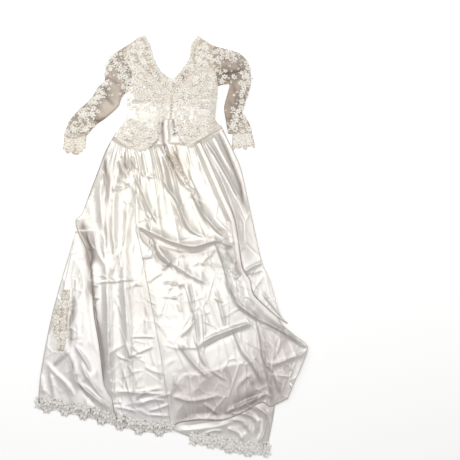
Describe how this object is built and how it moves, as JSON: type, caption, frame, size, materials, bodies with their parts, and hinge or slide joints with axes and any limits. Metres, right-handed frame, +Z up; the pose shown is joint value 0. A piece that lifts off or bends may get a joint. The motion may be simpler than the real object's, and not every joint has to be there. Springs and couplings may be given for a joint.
{
  "type": "wedding dress laid flat",
  "caption": "Long-sleeved wedding dress laid flat with its back up: lace bodice with a V neck, sheer lace sleeves and a full satin skirt with a short train.",
  "frame": {"origin": "middle of the outline, on the surface that the dress lies on", "axes": "+Z up off the surface, +Y from the train towards the neckline, +X to the right sleeve as the dress is seen from above"},
  "size_m": [1.1686, 2.0072, 0.0322],
  "materials": {
    "white_satin": "glossy white satin with deep folds",
    "ivory_satin": "ivory satin, soft sheen",
    "ivory_lace": "matt corded lace with small pearls",
    "sheer_net": "sheer beige net with lace flowers",
    "button_satin": "satin-covered buttons"
  },
  "bodies": {
    "root": {"skirt_front": "white_satin", "skirt_side_left": "white_satin", "skirt_back_left": "white_satin", "skirt_back_right": "white_satin", "skirt_side_right": "white_satin", "train_turned_under": "white_satin", "placket_panel": "white_satin", "bodice_front_left": "ivory_satin", "bodice_front_right": "ivory_satin", "bodice_back_left": "ivory_satin", "bodice_back_right": "ivory_satin", "yoke_left": "ivory_lace", "yoke_right": "ivory_lace", "neck_edging_left": "ivory_lace", "neck_edging_right": "ivory_lace", "bodice_lace_left": "ivory_lace", "bodice_lace_right": "ivory_lace", "basque_lace_left": "ivory_lace", "basque_lace_right": "ivory_lace", "lace_tail": "ivory_lace", "skirt_lace_motif": "ivory_lace", "hem_lace_left": "ivory_lace", "hem_lace_right": "ivory_lace", "cuff_lace_left": "ivory_lace", "cuff_lace_right": "ivory_lace", "illusion_panel": "sheer_net", "sleeve_left_upper": "sheer_net", "sleeve_left_under": "sheer_net", "sleeve_right_upper": "sheer_net", "sleeve_right_under": "sheer_net", "button_1": "button_satin", "button_2": "button_satin", "button_3": "button_satin", "button_4": "button_satin", "button_5": "button_satin", "button_6": "button_satin", "button_7": "button_satin", "button_8": "button_satin"}
  },
  "joints": []
}
